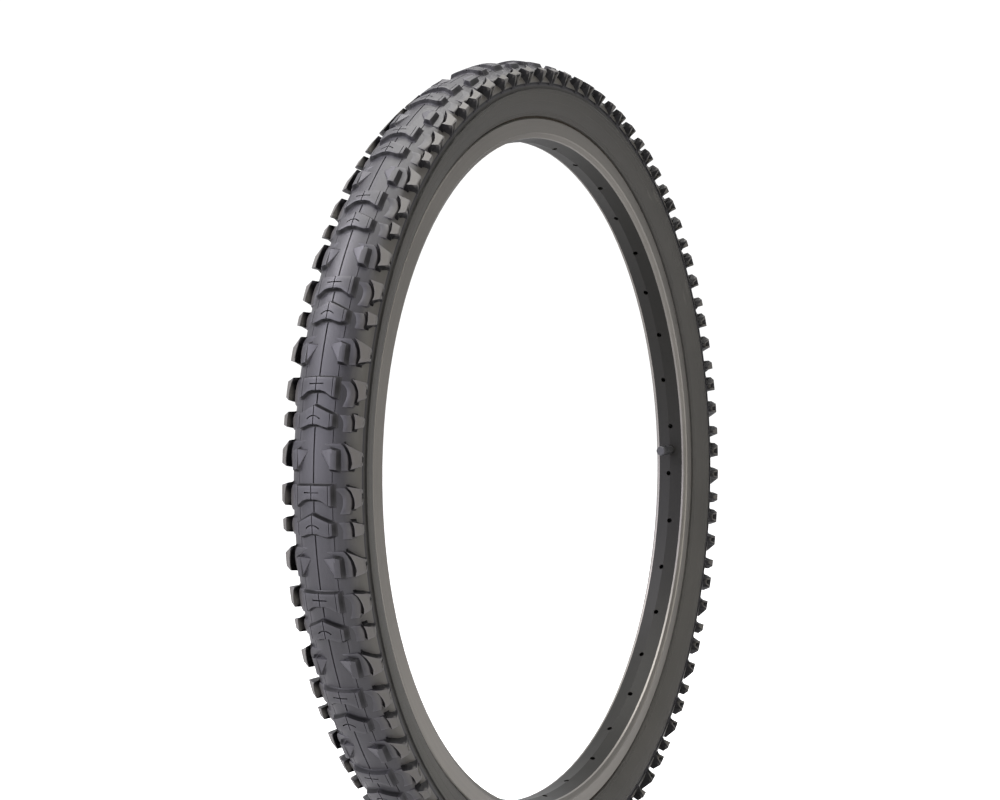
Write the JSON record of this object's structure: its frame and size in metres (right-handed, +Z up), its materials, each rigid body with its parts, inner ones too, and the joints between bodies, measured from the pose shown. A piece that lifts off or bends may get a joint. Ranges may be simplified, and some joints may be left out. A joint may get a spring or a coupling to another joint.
{
  "type": "bicycle tire on rim",
  "caption": "Knobbly mountain bicycle tire with inner tube and Schrader valve, seated on a drilled double-wall rim ready for spokes.",
  "frame": {"origin": "the wheel's centre, on its axis of rotation and its middle plane", "axes": "+Y along the axis of rotation to the rider's left, +Z up, +X forward in the frame where left is +Y"},
  "size_m": [0.6646, 0.0614, 0.6646],
  "materials": {
    "tread_rubber": "satin black-grey rubber",
    "sidewall_rubber": "matt moulded rubber",
    "ply_cord": "rubbered nylon cord",
    "chafer_cloth": "rubbered cloth",
    "bead_steel": "bronze-plated wire",
    "rim_alloy": "dark anodised, satin",
    "sleeve_alloy": "mill",
    "strip_rubber": "matt",
    "tube_butyl": "talced butyl",
    "valve_brass": "plain brass",
    "valve_rubber": "smooth",
    "core_seal": "smooth",
    "spring_steel": "bright",
    "cap_plastic": "moulded"
  },
  "bodies": {
    "wheel": {"tread": "tread_rubber", "sidewall_left": "sidewall_rubber", "sidewall_right": "sidewall_rubber", "casing_ply_outer": "ply_cord", "casing_ply_inner": "ply_cord", "chafer_left": "chafer_cloth", "chafer_right": "chafer_cloth", "bead_wire_left": "bead_steel", "bead_wire_right": "bead_steel", "rim": "rim_alloy", "rim_joint_sleeve": "sleeve_alloy", "rim_strip": "strip_rubber", "inner_tube": "tube_butyl", "valve_patch": "tube_butyl", "valve_stem": "valve_brass", "valve_stem_rubber": "valve_rubber", "valve_core_body": "valve_brass", "valve_core_seal": "core_seal", "valve_core_spring": "spring_steel"},
    "valve_pin": {"valve_pin": "valve_brass", "valve_plunger_seal": "core_seal"},
    "valve_cap": {"valve_cap": "cap_plastic", "valve_cap_seal": "core_seal"}
  },
  "joints": [
    {"name": "valve_press", "type": "slide", "parent": "wheel", "child": "valve_pin", "axis": [0.9987, 0, 0.0513], "range_m": [0, 0.0015], "stiffness_N_per_m": 400, "springref_m": -0.003, "deforming": ["valve_core_spring"]},
    {"name": "valve_cap_off", "type": "slide", "parent": "wheel", "child": "valve_cap", "axis": [-0.9987, 0, -0.0513], "range_m": [0, 0.012]}
  ]
}
